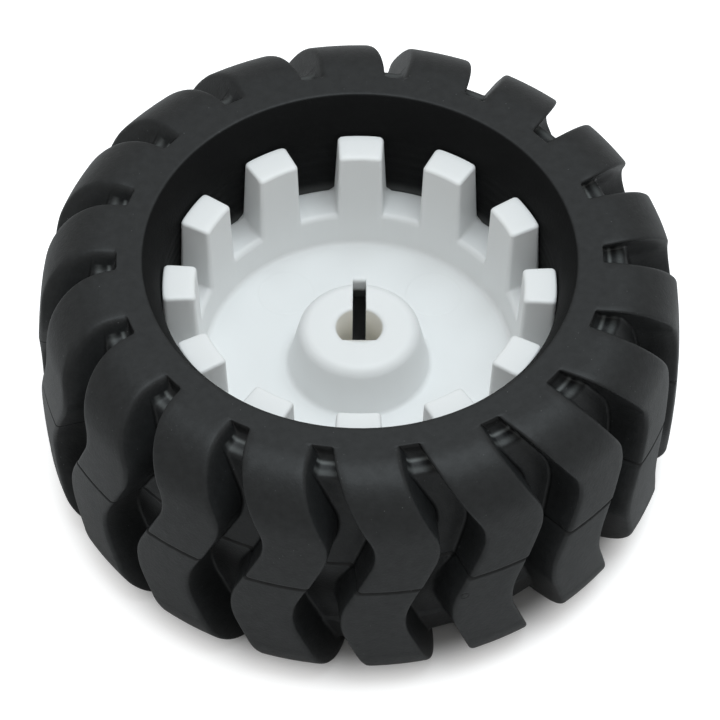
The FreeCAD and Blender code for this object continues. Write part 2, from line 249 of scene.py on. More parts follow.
class Nodes:
    """One material's node tree."""

    def __init__(self, name):
        self.material = bpy.data.materials.new(name)
        self.material.use_nodes = True
        self.tree = self.material.node_tree
        self.shader = self.tree.nodes["Principled BSDF"]

    def feed(self, place, item):
        """Links a shader value to a socket, or writes a plain value into it."""
        if isinstance(item, Sock):
            self.tree.links.new(item.socket, place)
        elif isinstance(item, (tuple, list)) and len(item) == 3 and place.type == "RGBA":
            place.default_value = tuple(item) + (1.0,)
        elif place.type == "VECTOR" and isinstance(item, (int, float)):
            place.default_value = (item, item, item)
        else:
            place.default_value = item

    def add(self, node_type, settings=None, inputs=None, output=0, kind="value"):
        """Any node: its settings come first, then the values or links of its sockets."""
        node = self.tree.nodes.new(node_type)
        for key, value in (settings or {}).items():
            setattr(node, key, value)
        for key, value in (inputs or {}).items():
            self.feed(node.inputs[key], value)
        return Sock(self, node.outputs[output], kind)

    def place(self):
        """Object coordinates in millimetres."""
        coordinates = self.add("ShaderNodeTexCoord", output="Object", kind="vector")
        return coordinates * (1 / MM)

    def parts(self, vector):
        """The three numbers of a vector."""
        first = self.add("ShaderNodeSeparateXYZ", inputs={0: vector})
        return [Sock(self, socket) for socket in first.socket.node.outputs]

    def noise(self, vector, scale, detail=2.0, roughness=0.5):
        """Cloudy noise from 0 to 1. A larger scale gives smaller clouds."""
        return self.add("ShaderNodeTexNoise", inputs={
            "Vector": vector, "Scale": scale, "Detail": detail, "Roughness": roughness})

    def specks(self, vector, scale, smallness):
        """Small round spots: 1 inside a spot of a cell pattern and 0 elsewhere."""
        distance = self.add("ShaderNodeTexVoronoi", inputs={"Vector": vector, "Scale": scale})
        return 1 - distance.above(smallness * 0.6, smallness)

    def mix(self, factor, first, second):
        """A colour between two colours. A Mix node's colours are its inputs 6 and 7 and its output 2."""
        return self.add("ShaderNodeMix", {"data_type": "RGBA"}, {0: factor, 6: first, 7: second}, 2, "vector")

    def shades(self, factor, colour, dark, light):
        """A colour that varies between two strengths of itself."""
        return self.mix(factor, [part * dark for part in colour], [part * light for part in colour])

    def bump(self, height, depth):
        """A normal from heights of 0 to 1 that are depth millimetres tall."""
        inputs = {"Height": height, "Strength": 1.0, "Distance": depth * MM}
        return self.add("ShaderNodeBump", inputs=inputs, kind="vector")

    def finish(self, **sockets):
        """Feeds the shader's sockets, named with underscores for spaces, and gives the material."""
        for name, item in sockets.items():
            self.feed(self.shader.inputs[name.replace("_", " ")], item)
        return self.material


# Mesh helpers
def smooth_step(value, low, high):
    """0 below low, 1 above high, with a smooth cubic between."""
    t = np.clip((value - low) / (high - low), 0.0, 1.0)
    return t * t * (3 - 2 * t)


def rounded_polyline(corners, radii, spacing):
    """Points of a path through corners, where each inner corner gives way to a circle of its radius.

    The circle touches both sides at the radius over the tangent of the corner's half angle.
    """
    corners = np.asarray(corners, float)
    points = [corners[0]]
    for index in range(1, len(corners) - 1):
        corner = corners[index]
        back = corners[index - 1] - corner
        ahead = corners[index + 1] - corner
        back_length = np.linalg.norm(back)
        ahead_length = np.linalg.norm(ahead)
        back = back / back_length
        ahead = ahead / ahead_length
        half = math.acos(np.clip(back @ ahead, -1, 1)) / 2
        reach = min(radii[index - 1] / math.tan(half), 0.49 * back_length, 0.49 * ahead_length)
        radius = reach * math.tan(half)
        middle = back + ahead
        centre = corner + middle / np.linalg.norm(middle) * (radius / math.sin(half))
        start = corner + back * reach - centre
        end = corner + ahead * reach - centre
        sweep = math.atan2(start[0] * end[1] - start[1] * end[0], start @ end)
        count = max(2, int(abs(sweep) * max(radius, 0.2) / spacing) + 1)
        angle = np.linspace(0, sweep, count + 1)[:, None]
        turned = np.stack([-start[1:2], start[0:1]], 1)
        points.extend(centre + np.cos(angle) * start + np.sin(angle) * turned)
    points.append(corners[-1])
    return np.array(points)


def grid_mesh(name, points):
    """A closed mesh from a grid of points that wraps round in both directions.

    Each face joins a point, its right neighbour and the two below them.
    """
    rows, columns = points.shape[:2]
    index = np.arange(rows * columns).reshape(rows, columns)
    right = np.roll(index, -1, axis=1)
    below = np.roll(index, -1, axis=0)
    corner = np.roll(right, -1, axis=0)
    faces = np.stack([index, right, corner, below], -1).reshape(-1, 4)
    mesh = bpy.data.meshes.new(name)
    mesh.vertices.add(rows * columns)
    mesh.vertices.foreach_set("co", (points.reshape(-1, 3) * MM).ravel())
    mesh.loops.add(faces.size)
    mesh.loops.foreach_set("vertex_index", faces.ravel().astype(np.int32))
    mesh.polygons.add(len(faces))
    mesh.polygons.foreach_set("loop_start", np.arange(0, faces.size, 4, dtype=np.int32))
    mesh.update(calc_edges=True)
    mesh.validate()
    work = bmesh.new()
    work.from_mesh(mesh)
    bmesh.ops.remove_doubles(work, verts=work.verts, dist=JOIN_DISTANCE * MM)
    bmesh.ops.recalc_face_normals(work, faces=work.faces)
    work.to_mesh(mesh)
    work.free()
    mesh.polygons.foreach_set("use_smooth", np.ones(len(mesh.polygons), bool))
    mesh.update()
    return mesh


def place_piece(name, mesh, node, material):
    """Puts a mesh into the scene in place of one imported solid."""
    piece = bpy.data.objects.new(name, mesh)
    bpy.context.scene.collection.objects.link(piece)
    mesh.materials.append(material)
    weighted = piece.modifiers.new("even shading", "WEIGHTED_NORMAL")
    weighted.weight = 60
    weighted.keep_sharp = True
    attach(piece, "root")
    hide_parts(node)


# The tyre
def wave_shift(height):
    """Sideways place of a lug's middle line at each height: straight runs with two rounded bends."""
    path = rounded_polyline(WAVE, WAVE_RADII, WAVE_SPACING)[::-1]
    shift = np.interp(height, path[:, 0], path[:, 1])
    lower = smooth_step(-height, -PARTING_HEIGHT - LOWER_HALF_BLEND, -PARTING_HEIGHT + LOWER_HALF_BLEND)
    return shift - LOWER_HALF_SHIFT * lower


def crown_height(height):
    """Radius of the lug tops: a shallow arc across the tread."""
    return TREAD_RADIUS - CROWN_RADIUS + np.sqrt(CROWN_RADIUS ** 2 - height ** 2)


def floor_height(height, floor_top):
    """Radius of the groove floor: two slopes that meet at the mould parting."""
    knots = [-FLOOR_END_HEIGHT, PARTING_HEIGHT, FLOOR_END_HEIGHT]
    return np.interp(height, knots, [FLOOR_END, floor_top, FLOOR_END])


def lip_section():
    """A lip from the bore to the side face: a large arc, a small crisp edge and the flat beside it."""
    turn = np.linspace(math.pi / 2, LIP_START, LIP_ROWS)
    low = HALF_WIDTH - LIP_RADIUS * math.cos(LIP_START)
    arc = np.stack([BORE_RADIUS + LIP_RADIUS * (1 - np.sin(turn)), low + LIP_RADIUS * np.cos(turn)], 1)
    edge = [(arc[-1, 0] + out, HALF_WIDTH - drop) for out, drop in LIP_EDGE_STEPS]
    face = [(radius, HALF_WIDTH) for radius in SIDE_FACE_RADII]
    return np.concatenate([arc[:-1], edge, face]), low


def shoulder_section(shoulder_radius):
    """The rounding from the side face to the crown: an arc that touches both."""
    height = HALF_WIDTH - shoulder_radius
    rest = CROWN_RADIUS - shoulder_radius
    middle = TREAD_RADIUS - CROWN_RADIUS + math.sqrt(rest ** 2 - height ** 2)
    turn = np.linspace(math.pi / 2, math.asin(height / rest), SHOULDER_ROWS)
    return np.stack([middle + shoulder_radius * np.cos(turn), height + shoulder_radius * np.sin(turn)], 1)


def tyre_section(shoulder_radius, floor_top):
    """Two matching closed section lines, one over the lugs and one along the groove floor.

    They are the same line round the bore, the lips and the side faces. Each row is radius and height.
    """
    lip, lip_low = lip_section()
    shoulder = shoulder_section(shoulder_radius)
    before = np.count_nonzero(shoulder[:, 1] > FLOOR_END_HEIGHT)
    along = np.linspace(0, len(GROOVE_FOOT) - 1, before)
    shoulder_floor = np.stack([floor_height(shoulder[:, 1], floor_top), shoulder[:, 1]], 1)
    for axis in range(2):
        shoulder_floor[:before, axis] = np.interp(along, range(len(GROOVE_FOOT)), GROOVE_FOOT[:, axis])
    face = [(radius, HALF_WIDTH) for radius in LUG_FACE_RADII]
    step = [(radius, HALF_WIDTH - drop) for radius, drop in zip(GROOVE_STEP_RADII, GROOVE_STEP_DROPS)]
    top = np.concatenate([lip, face, shoulder])
    floor = np.concatenate([lip, step, shoulder_floor])
    crown_edge = shoulder[-1, 1]
    heights = np.linspace(crown_edge, -crown_edge, CROWN_ROWS)[1:-1]
    heights = heights[np.abs(heights - PARTING_HEIGHT) > PARTING_CLEAR]
    heights = np.sort(np.r_[heights, PARTING_HEIGHT + PARTING_ROWS])[::-1]
    crown = np.stack([crown_height(heights), heights], 1)
    crown_floor = np.stack([floor_height(heights, floor_top), heights], 1)
    parted = np.abs(heights - PARTING_HEIGHT) < PARTING_REACH
    crown[parted, 0] -= PARTING_DEPTH
    crown_floor[parted, 0] -= PARTING_FLOOR_DEPTH
    crown[heights < PARTING_HEIGHT - PARTING_REACH, 0] -= LOWER_HALF_INSET
    mirror = np.array([1.0, -1.0])
    bore_height = np.linspace(-lip_low, lip_low, BORE_ROWS)[1:-1]
    bore = np.stack([np.full(len(bore_height), BORE_RADIUS), bore_height], 1)
    over = np.concatenate([top, crown, (top * mirror)[::-1], bore])
    under = np.concatenate([floor, crown_floor, (floor * mirror)[::-1], bore])
    return over, under


def lug_columns(depth, half, edge, root):
    """Half of one pitch, from the lug's middle to the foot of its flank, for every row.

    Gives the sideways place and the depth below the lug top. The edge is a convex quarter circle and the
    foot a concave one, and both shrink where the groove is shallow.
    """
    depth = depth[:, None]
    half = half[:, None]
    edge = np.minimum(edge, ROUNDING_SHARE * depth)
    root = np.minimum(root, ROUNDING_SHARE * depth)
    turn = np.radians([0, 30, 60, 90])[None, :]
    flat = (half - edge) * np.array([[0.0, 0.4, 0.8]])
    edge_side = half - edge + edge * np.sin(turn)
    edge_depth = edge * (1 - np.cos(turn))
    flank = edge + (depth - edge - root) * np.array([[0.33, 0.67]])
    foot_side = half + root * (1 - np.cos(turn))
    foot_depth = depth - root + root * np.sin(turn)
    side = np.concatenate([flat, edge_side, half + np.zeros_like(flank), foot_side], 1)
    down = np.concatenate([np.zeros_like(flat), edge_depth, flank, foot_depth], 1)
    return side, down


def tyre_points(settings):
    """The whole tyre as one grid: rows follow the section and columns go round the axle.

    A point lies between the lug line and the floor line by its depth, sideways from the lug's own radial
    plane by the wave and its column, and its angle is the arcsine of that distance over its radius.
    """
    over, under = tyre_section(settings.shoulder_radius / MM, TYRE_RADIUS - settings.groove_depth / MM)
    reach = under - over
    depth = np.hypot(reach[:, 0], reach[:, 1])
    parted = np.abs(over[:, 1] - PARTING_HEIGHT) < PARTING_REACH
    notch = PARTING_NOTCH * (parted & (over[:, 0] > PARTING_NOTCH_RADIUS))
    side, down = lug_columns(depth, settings.lug_width / MM / 2 - notch, LUG_EDGE, LUG_FOOT)
    share = down / np.maximum(depth, 1e-6)[:, None]
    right = over[:, None, :] + reach[:, None, :] * share[:, :, None]
    section = np.concatenate([right[:, :0:-1], right], 1)
    lateral = np.concatenate([-side[:, :0:-1], side], 1) + wave_shift(section[:, :, 1])
    angle = np.arcsin(lateral / section[:, :, 0])
    pitch = TURN / settings.lug_count
    first = angle[:, -1]
    last = angle[:, 0] + pitch
    steps = np.array([0.25, 0.5, 0.75])[None, :]
    groove = first[:, None] + (last - first)[:, None] * steps
    angle = np.concatenate([angle, groove], 1)
    section = np.concatenate([section, np.repeat(under[:, None, :], steps.size, 1)], 1)
    turns = (TREAD_TURN + pitch * np.arange(settings.lug_count))[None, :, None]
    around = (angle[:, None, :] + turns).reshape(len(over), -1)
    radius = np.tile(section[:, :, 0], (1, settings.lug_count))
    height = np.tile(section[:, :, 1], (1, settings.lug_count))
    return np.stack([radius * np.cos(around), radius * np.sin(around), height], -1)


# The hub
def edge_profile():
    """The drum's edge between two teeth: radius and height for each row of the tooth grid.

    A quarter circle leads from the cup's wall to the drum's flat top, and a small step to its outside.
    """
    rows = np.r_[-LEVELS[:0:-1], LEVELS]
    knots = [-1.0, -0.97, -0.94, -0.91, -0.88, -0.78, -0.68, 0.88, 0.94, 1.0]
    turn = np.radians([0, 15, 30, 45, 60, 75, 90])
    inner = CUP_RADIUS + (DRUM_TOP - RIM_EDGE - WEB_TOP) * DRAFT
    radii = np.r_[inner + RIM_EDGE * (1 - np.cos(turn)), DRUM_RADIUS - DRUM_LIP, DRUM_RADIUS - DRUM_STEP,
                  DRUM_RADIUS]
    heights = np.r_[DRUM_TOP - RIM_EDGE * (1 - np.sin(turn)), DRUM_TOP, DRUM_TOP - DRUM_STEP,
                    DRUM_TOP - DRUM_LIP]
    return rows, np.interp(rows, knots, radii), np.interp(rows, knots, heights)


def rounded_square(across, along):
    """Sends the outline of a square to one with round corners: an eighth turn on each side of a corner.

    Gives, for each of the two directions, the sign, the share of the straight run and the corner's inset.
    """
    far_across = np.clip((np.abs(across) - CORNER_BEND) / (1 - CORNER_BEND), 0, 1) * math.pi / 4
    far_along = np.clip((np.abs(along) - CORNER_BEND) / (1 - CORNER_BEND), 0, 1) * math.pi / 4
    on_side = np.abs(across) >= np.abs(along)
    share_across = np.where(on_side, 1.0, np.clip(np.abs(across) / CORNER_BEND, 0, 1))
    share_along = np.where(on_side, np.clip(np.abs(along) / CORNER_BEND, 0, 1), 1.0)
    inset_across = np.where(on_side, 1 - np.cos(far_along), 1 - np.sin(far_across))
    inset_along = np.where(on_side, 1 - np.sin(far_along), 1 - np.cos(far_across))
    bent_across = on_side | (far_across > 0)
    bent_along = ~on_side | (far_along > 0)
    return (np.sign(across), np.sign(along), share_across, share_along,
            np.where(bent_across, inset_across, 1.0), np.where(bent_along, inset_along, 1.0))


def tooth_points(tooth_top):
    """One tooth on a square grid: radius, height and sideways place, with rows from the cup outwards.

    Rings of the square become the top, the round edge, the drafted wall and the flared foot, in turn. The
    edge is a quarter circle by its level, the wall a straight line, and the foot blends into the drum.
    """
    rows, edge_radius, edge_height = edge_profile()
    along, across = np.meshgrid(rows, rows, indexing="ij")
    level = np.maximum(np.abs(along), np.abs(across))
    safe = np.maximum(level, 1e-9)
    unit_across = across / safe
    unit_along = along / safe
    sign_x, sign_y, share_x, share_y, inset_x, inset_y = rounded_square(unit_across, unit_along)
    wall = np.clip((WALL_FOOT_LEVEL - level) / (WALL_FOOT_LEVEL - WALL_TOP_LEVEL), 0, 1)
    crest = np.clip((WALL_TOP_LEVEL - level) / (WALL_TOP_LEVEL - TOP_LEVEL), 0, 1) * math.pi / 2
    height = DRUM_TOP + wall * (tooth_top - TOOTH_EDGE - DRUM_TOP) + TOOTH_EDGE * np.sin(crest)
    pull = TOOTH_EDGE * (1 - np.cos(crest))
    rise = height - DRUM_TOP
    inner = CUP_RADIUS + (height - WEB_TOP) * DRAFT + pull
    outer = DRUM_RADIUS - rise * TOOTH_BACK_DRAFT - pull * 0.6
    half_length = (outer - inner) / 2
    reach = np.clip(level / TOP_LEVEL, 0, 1)
    end = sign_y * (half_length - TOOTH_CORNER) * share_y + sign_y * TOOTH_CORNER * (1 - inset_y)
    radial = (inner + outer) / 2 + end * reach
    share = np.clip((radial - inner) / (2 * half_length), 0, 1)
    taper = TOOTH_DRAFT + TOOTH_OUTER_DRAFT * share
    half_width = TOOTH_HALF_WIDTH + TOOTH_WIDENING * share - rise * taper - 0.8 * pull
    flare = TOOTH_FLARE + TOOTH_FLARE_WIDENING * share
    lateral = (sign_x * (half_width - TOOTH_CORNER) * share_x + sign_x * TOOTH_CORNER * (1 - inset_x)) * reach
    ring_radius = np.interp(unit_along, rows, edge_radius)
    ring_height = np.interp(unit_along, rows, edge_height)
    foot = np.clip((level - WALL_FOOT_LEVEL) / (1 - WALL_FOOT_LEVEL), 0, 1)
    height = height + flare * (1 - wall) * (crest == 0)
    sideways = np.abs(unit_across) >= np.abs(unit_along)
    low = np.where(sideways, flare * (1 - np.sin(foot * math.pi / 2)), flare * (1 - foot))
    height = np.where(foot > 0, ring_height * foot + DRUM_TOP * (1 - foot) + low, height)
    radial = radial * (1 - foot) + ring_radius * foot
    out = flare * (1 - np.cos(foot * math.pi / 2))
    lateral = lateral + np.sign(unit_across) * np.abs(unit_across) * out
    return radial, height, lateral, edge_radius, edge_height


def tooth_band(tooth_top):
    """All teeth and the gaps between them, from +Y round: radius, height and angle of each point.

    A tooth's angles are the arcsine of its sideways place over its radius. A gap's are evenly spaced.
    """
    radial, height, lateral, edge_radius, edge_height = tooth_points(tooth_top)
    pitch = TURN / TOOTH_COUNT
    tooth_angle = np.arcsin(lateral / radial)
    first = tooth_angle[:, -1]
    steps = np.linspace(0, 1, GAP_COLUMNS + 2)[1:-1][None, :]
    gap_angle = first[:, None] + (tooth_angle[:, 0] + pitch - first)[:, None] * steps
    angle = np.concatenate([tooth_angle, gap_angle], 1)
    turns = (pitch * np.arange(TOOTH_COUNT))[None, :, None]
    around = (angle[:, None, :] + turns).reshape(len(angle), -1)
    middle = tooth_angle.shape[1] // 2
    around = np.roll(around, -middle, axis=1)
    around[:, -middle:] += TURN
    both = []
    for tooth, edge in ((radial, edge_radius), (height, edge_height)):
        one = np.concatenate([tooth, np.repeat(edge[:, None], GAP_COLUMNS, 1)], 1)
        both.append(np.roll(np.tile(one, (1, TOOTH_COUNT)), -middle, axis=1))
    return both[0], both[1], around


def inner_angles(count, slit_half):
    """Column angles from +Y for the boss: close beside the slit, so that its walls come out straight."""
    spots = np.arcsin(slit_half / SLIT_SPOTS)
    near = np.r_[SLIT_END_ANGLES, math.atan(slit_half / SLIT_END), spots]
    flat = math.pi - math.acos(SHAFT_FLAT / SHAFT_RADIUS)
    left = count // 2 + 1 - len(near)
    middle = int(left * 0.72)
    to_flat = np.linspace(near[-1], flat, middle + 1)[1:]
    to_end = np.linspace(flat, math.pi, left - middle + 1)[1:]
    angles = np.r_[near, to_flat, to_end]
    return np.r_[angles, TURN - angles[-2:0:-1]]


def inner_limit(angle, slit_half):
    """How far the D-shaped bore and the slit reach from the axis at each angle from +Y.

    The bore reaches its radius, or the flat's distance over the cosine. The slit reaches its half width
    over the sine, or its end over the cosine.
    """
    off = np.abs((angle + math.pi) % TURN - math.pi)
    limit = np.full_like(off, SHAFT_RADIUS)
    flat = off > math.pi - math.acos(SHAFT_FLAT / SHAFT_RADIUS)
    limit = np.where(flat, SHAFT_FLAT / np.maximum(-np.cos(off), 0.1), limit)
    slit_end = SLIT_END / np.cos(np.minimum(off, 1.0))
    slit_side = slit_half / np.maximum(np.sin(off), 1e-4)
    slit = np.minimum(slit_end, slit_side)
    return np.where(off < math.pi / 2, np.maximum(limit, slit), limit)


def rising(path):
    """A path without the points where its radius stands still or falls back."""
    return path[np.r_[True, np.diff(path[:, 0]) > 0]]


def rows_between(path, low, high):
    """Radii of a path's points that lie between two radii."""
    return path[(path[:, 0] > low) & (path[:, 0] < high)][:, 0]


def hub_points(settings):
    """The whole hub as one grid. Rows follow the section out from the bore, over the teeth and back below.

    Near the axis a row is held outside the D-shaped bore and the slit. Towards the drum the columns turn
    from the slit's angles to those of the teeth.
    """
    slit_half = settings.slit_width / MM / 2
    teeth = tooth_band(DRUM_TOP + settings.tooth_height / MM)
    outer = teeth[2]
    count = outer.shape[1]
    inner = inner_angles(count, slit_half)
    limit = inner_limit(inner, slit_half)

    edge_radius, edge_height = edge_profile()[1:]
    top_path = rounded_polyline(
        [(SECTION_START, BOSS_TOP), (BOSS_TOP_RADIUS, BOSS_TOP), (BOSS_FOOT_RADIUS, WEB_TOP),
         (CUP_RADIUS, WEB_TOP), (edge_radius[0], edge_height[0])],
        [BOSS_ROUNDING, WEB_FILLET, WEB_FILLET], SECTION_SPACING)
    web_radii = [SLIT_END, 7.3, 8.0, 8.8, 9.5]
    top_rows = np.r_[SHAFT_RADIUS, 1.9, 2.4, 2.8, rows_between(top_path, 2.9, 4.0), 4.1, 4.25, 4.4,
                     rows_between(top_path, 4.45, 5.2), 5.3, 5.9, 6.5, web_radii]
    top_tail = top_path[top_path[:, 0] > DRUM_SIDE][:-1]
    outer_boss_foot = OUTER_BOSS_RADIUS + DRAFT * (WEB_BOTTOM - OUTER_BOSS_END)
    low_path = rounded_polyline(
        [(SECTION_START, OUTER_BOSS_END), (OUTER_BOSS_RADIUS, OUTER_BOSS_END), (outer_boss_foot, WEB_BOTTOM),
         (DISH_RADIUS, WEB_BOTTOM), (DISH_MOUTH, DRUM_END), (DRUM_RADIUS, DRUM_END), (DRUM_RADIUS, 1.0)],
        DISH_ROUNDINGS, SECTION_SPACING)
    split = np.argmax(low_path[:, 0] > DRUM_SIDE)
    low_inner = low_path[:split]
    low_rows = np.r_[SHAFT_RADIUS, 1.9, 2.6, 3.2, rows_between(low_inner, 3.5, 5.2), 5.6, 6.3, web_radii]

    def held(radii, path):
        """Rows near the axis, at their radius or at the bore's or slit's edge, whichever is farther out."""
        radius = np.maximum(radii[:, None], limit[None, :] + MOUTH_EDGE)
        level = np.interp(radius, path[:, 0], path[:, 1])
        share = smooth_step(radius, *COLUMN_BLEND)
        turn = inner[None, :] * (1 - share) + outer[:1] * share
        return radius, level, turn

    def ring(path):
        """Full rows at each point of a path, with the angles of the teeth."""
        radius = np.repeat(path[:, :1], count, 1)
        level = np.repeat(path[:, 1:], count, 1)
        return radius, level, np.repeat(outer[:1], len(path), 0)

    top_line = rising(top_path)
    low_line = rising(low_inner)
    wall_high = np.interp(limit, top_line[:, 0], top_line[:, 1]) - MOUTH_EDGE
    wall_low = np.interp(limit, low_line[:, 0], low_line[:, 1]) + MOUTH_EDGE
    wall_height = wall_low + (wall_high - wall_low) * np.linspace(0, 1, WALL_ROWS)[:, None]
    wall_radius = np.repeat(limit[None, :], WALL_ROWS, 0)
    wall_angle = np.repeat(inner[None, :], WALL_ROWS, 0)
    bands = [
        (wall_radius, wall_height, wall_angle),
        held(top_rows, top_line),
        ring(top_tail),
        teeth,
        ring(low_path[split:][::-1]),
        [part[::-1] for part in held(low_rows, low_line)],
    ]
    radius, level, turn = [np.concatenate([band[k] for band in bands]) for k in range(3)]
    turn = turn + math.pi / 2
    return np.stack([radius * np.cos(turn), radius * np.sin(turn), level], -1)


# Materials
def rubber_material(settings):
    """Dull black rubber: cloudy, with painted shade in the bore, on the groove end walls and in the creases
    at the lugs' feet, painted highlights on the ledges, a painted reflection of the hub low in the bore, a
    dark ring mark and some dust.
    """
    nodes = Nodes("tyre rubber")
    place = nodes.place()
    x, y, z = nodes.parts(place)
    radius = (x * x + y * y).root()
    outside = radius.above(13.95, 14.06)
    cloud = nodes.noise(place, 0.35, 3.0)
    grain = nodes.noise(place, 5.0, 4.0, 0.6)
    mottle = nodes.noise(place, 1.7, 3.0, 0.6)
    shade = nodes.shades(mottle, settings.rubber_colour, 0.55, 1.45)
    base = nodes.mix(cloud * 0.3, shade, CLOUDED_RUBBER)
    # Painted shade: inside the bore the rubber is much darker, where the tyre's own ring keeps the light out.
    base = nodes.mix(outside, BORE_PAINTED_SHADE, base)
    side = z.abs()
    # Painted shade: the top of each groove's end wall is darkened where the narrow groove shades it.
    end_wall_shade = radius.near(15.66, 0.16) * (1 - side.above(9.42, 9.47)) * side.above(8.7, 8.9)
    base = nodes.mix(end_wall_shade * 0.8, base, CREASE_PAINTED_SHADE)
    # Painted highlight: two pale lines on the ledge at each groove's end, in place of glints on its
    # roundings.
    ledge_highlight = radius.near(16.13, 0.2) + radius.near(16.8, 0.35) * 0.45
    ledge_highlight = ledge_highlight * side.above(8.2, 8.3) * (1 - side.above(8.6, 8.75))
    base = nodes.mix(ledge_highlight, base, LEDGE_PAINTED_HIGHLIGHT)
    # Painted shade: a dark line in the crease where each lug's flank meets the groove floor.
    floor = TYRE_RADIUS - settings.groove_depth / MM - (z - PARTING_HEIGHT).abs() * FLOOR_SLOPE
    foot = (radius - floor).near(0.16, 0.16) * radius.above(17.2, 17.4)
    base = nodes.mix(foot * 0.7, base, CREASE_PAINTED_SHADE)
    # Painted reflection: a paler band in the bore just above the drum's top, where the white drum top is
    # mirrored in the rubber.
    hub_reflection = (1 - z.above(1.4, 2.8)) * z.above(1.2, 1.3) * (1 - outside)
    base = nodes.mix(hub_reflection * hub_reflection, base, PAINTED_HUB_REFLECTION)
    away = [part - spot for part, spot in zip((x, y, z), RING_MARK)]
    mark = (away[0] * away[0] + away[1] * away[1] + away[2] * away[2]).root().near(0.24, 0.1)
    base = nodes.mix(mark * 0.7, base, MARK_RUBBER)
    dust = nodes.specks(place, 1.9, 0.075) * nodes.noise(place, 0.5).above(0.45, 0.6) * outside
    colour = nodes.mix(dust * 0.4, base, DUST)
    ridges = (z * 7.0).sin() * radius.near(BORE_RADIUS, 0.3) * z.above(2.0, 3.0) * (1 - z.above(6.0, 7.0))
    bump = nodes.bump(grain + ridges * 0.4 - mark * 2.0, 0.04)
    sheen = outside * (1 - foot) * (mottle * 0.16 + 0.21)
    return nodes.finish(Base_Color=colour, Roughness=cloud * 0.12 + 0.72 - outside * 0.22, Coat_Weight=sheen,
                        Coat_Roughness=0.4, Specular_IOR_Level=0.16, Normal=bump)


def plastic_material(settings):
    """White moulded plastic: faint clouds, painted warm shade in the bore and two ejector marks on the web.
    """
    nodes = Nodes("hub plastic")
    place = nodes.place()
    cloud = nodes.noise(place, 0.25, 2.0)
    grain = nodes.noise(place, 3.0, 2.0)
    colour = nodes.shades(cloud, settings.plastic_colour, 0.985, 1.015)
    x, y, z = nodes.parts(place)
    side = x.abs() - MARK_SIDE
    back = y - MARK_BACK
    away = (side * side + back * back).root()
    on_web = z.near(WEB_TOP, 0.3)
    ring = away.near(MARK_RADIUS, MARK_EDGE) * on_web
    colour = nodes.mix(ring * 0.05, colour, MARK_PLASTIC)
    # Painted shade: the shaft bore's walls are darker and warmer, warmed as by light reflected into the bore.
    bore = 1 - (x * x + y * y).root().above(1.6, 1.9)
    colour = nodes.mix(bore * (1 - z.above(2.3, 2.45)) * 0.8, colour, BORE_PAINTED_WARM_SHADE)
    raised = (1 - away.above(MARK_RADIUS - MARK_EDGE, MARK_RADIUS)) * on_web
    bump = nodes.bump(grain * 0.2 + raised, 0.012)
    return nodes.finish(Base_Color=colour, Roughness=cloud * 0.08 + 0.38, Specular_IOR_Level=0.4, Normal=bump)


def floor_material(glow_strength):
    """A pale dull floor. The camera alone also sees it glow beside the wheel, and not in its shadow."""
    nodes = Nodes("pale floor")
    x, y = nodes.parts(nodes.place())[:2]
    beside = (x * x + y * y).root().above(TYRE_RADIUS - 3.8, TYRE_RADIUS + 0.2)
    seen = nodes.add("ShaderNodeLightPath", output="Is Camera Ray")
    dull = nodes.add("ShaderNodeBsdfDiffuse", inputs={"Color": FLOOR_COLOUR})
    glow = nodes.add("ShaderNodeEmission", inputs={"Strength": seen * beside * glow_strength})
    both = nodes.add("ShaderNodeAddShader", inputs={0: dull, 1: glow})
    nodes.tree.nodes.remove(nodes.shader)
    nodes.feed(nodes.tree.nodes["Material Output"].inputs["Surface"], both)
    return nodes.material


# The stage
def add_floor(glow_strength):
    """A large square under the wheel, at the height of the tyre's lower side."""
    level = TYRE_LOW.z
    corners = [(FLOOR_SIZE * x, FLOOR_SIZE * y, level) for x, y in ((-1, -1), (1, -1), (1, 1), (-1, 1))]
    mesh = bpy.data.meshes.new("floor")
    mesh.from_pydata(corners, [], [(0, 1, 2, 3)])
    mesh.materials.append(floor_material(glow_strength))
    floor = bpy.data.objects.new("floor", mesh)
    bpy.context.scene.collection.objects.link(floor)


def add_lamp(name, place, size, power, colour):
    """A large round lamp that looks at the wheel's middle."""
    data = bpy.data.lights.new(name, "AREA")
    data.shape = "DISK"
    data.size = size
    data.energy = power
    data.color = colour
    lamp = bpy.data.objects.new(name, data)
    bpy.context.scene.collection.objects.link(lamp)
    lamp.location = place
    direction = -lamp.location
    lamp.rotation_mode = "QUATERNION"
    lamp.rotation_quaternion = direction.to_track_quat("-Z", "Y")


def add_world(strength):
    """Even, slightly warm light from all around."""
    world = bpy.data.worlds.new("studio")
    bpy.context.scene.world = world
    world.use_nodes = True
    background = world.node_tree.nodes["Background"]
    background.inputs["Color"].default_value = SKY_COLOUR + (1,)
    background.inputs["Strength"].default_value = strength


